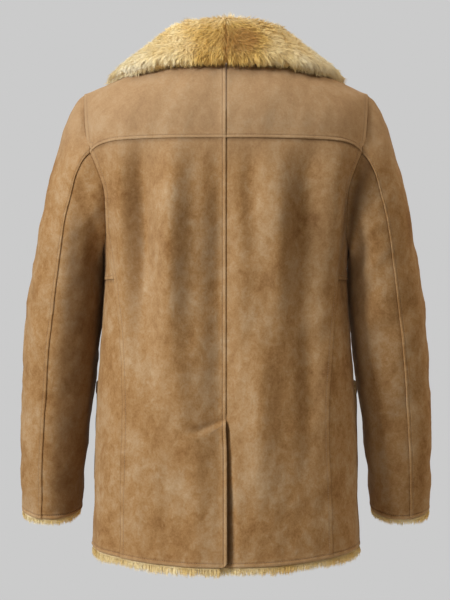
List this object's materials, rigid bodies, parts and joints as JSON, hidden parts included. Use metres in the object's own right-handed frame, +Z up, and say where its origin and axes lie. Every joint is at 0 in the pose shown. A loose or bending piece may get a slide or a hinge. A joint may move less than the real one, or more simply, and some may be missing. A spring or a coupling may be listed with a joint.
{
  "type": "shearling coat",
  "caption": "Man's thigh-length shearling coat in its worn form, hollow, with yoked back, centre vent, patch pockets and a wide wool collar.",
  "frame": {"origin": "the middle of the neck opening, level with the neck seam at the centre back, where a wearer, stand or hanger holds it", "axes": "+Z up as worn, -Y the way the front faces, +Y the back, +X to the wearer's left"},
  "size_m": [0.666, 0.3023, 0.8662],
  "materials": {
    "suede": "tan suede, napped",
    "wool": "golden sheep's wool, long on the collar",
    "horn": "dark brown horn"
  },
  "bodies": {
    "root": {"back_yoke_left": "suede", "back_yoke_right": "suede", "back_left": "suede", "back_right": "suede", "side_upper_left": "suede", "side_upper_right": "suede", "side_lower_left": "suede", "side_lower_right": "suede", "front_left": "suede", "front_right": "suede", "sleeve_top_left": "suede", "sleeve_top_right": "suede", "sleeve_under_left": "suede", "sleeve_under_right": "suede", "pocket_left": "suede", "pocket_right": "suede", "collar_left": "wool", "collar_right": "wool", "hem_wool_left": "wool", "hem_wool_right": "wool", "cuff_wool_left": "wool", "cuff_wool_right": "wool", "button_1": "horn", "button_2": "horn", "button_3": "horn", "button_4": "horn"}
  },
  "joints": []
}
